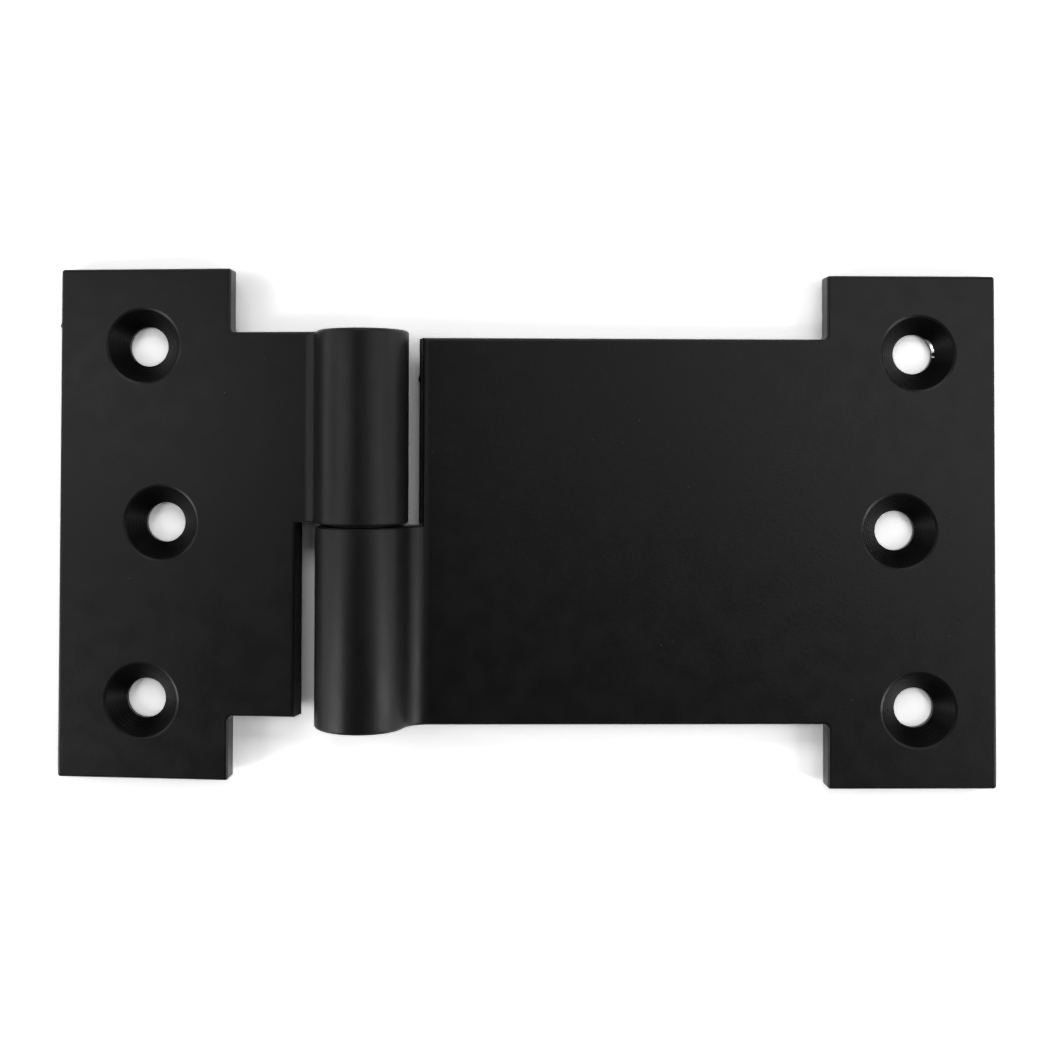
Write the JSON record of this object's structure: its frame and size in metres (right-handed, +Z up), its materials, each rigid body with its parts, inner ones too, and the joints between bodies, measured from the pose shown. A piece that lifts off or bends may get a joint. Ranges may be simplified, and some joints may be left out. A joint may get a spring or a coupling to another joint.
{
  "type": "parliament hinge",
  "caption": "Matte black unequal parliament hinge with eared leaves, countersunk screw holes and a lift-off pin barrel, lying open.",
  "frame": {"origin": "centre of the hinge's outline on the table that it lies on", "axes": "+X from the short leaf to the long leaf, across the pin; +Y along the pin, from the long leaf's knuckle to the short leaf's; +Z up, the side of the countersinks"},
  "size_m": [0.1838, 0.1012, 0.018],
  "materials": {
    "black_coat": "matte black powder coat",
    "pin_steel": "ground",
    "washer_nylon": "black nylon"
  },
  "bodies": {
    "long_leaf": {"long_leaf": "black_coat", "hinge_pin": "pin_steel"},
    "washer": {"bearing_washer": "washer_nylon"},
    "short_leaf": {"short_leaf": "black_coat"}
  },
  "joints": [
    {"name": "fold", "type": "hinge", "parent": "long_leaf", "child": "washer", "pos_m": [-0.03161, 0.00065, 0.009], "axis": [0, 1, 0], "range_deg": [0, 185.7]},
    {"name": "lift_off", "type": "slide", "parent": "washer", "child": "short_leaf", "axis": [0, 1, 0], "range_m": [0, 0.034]}
  ]
}
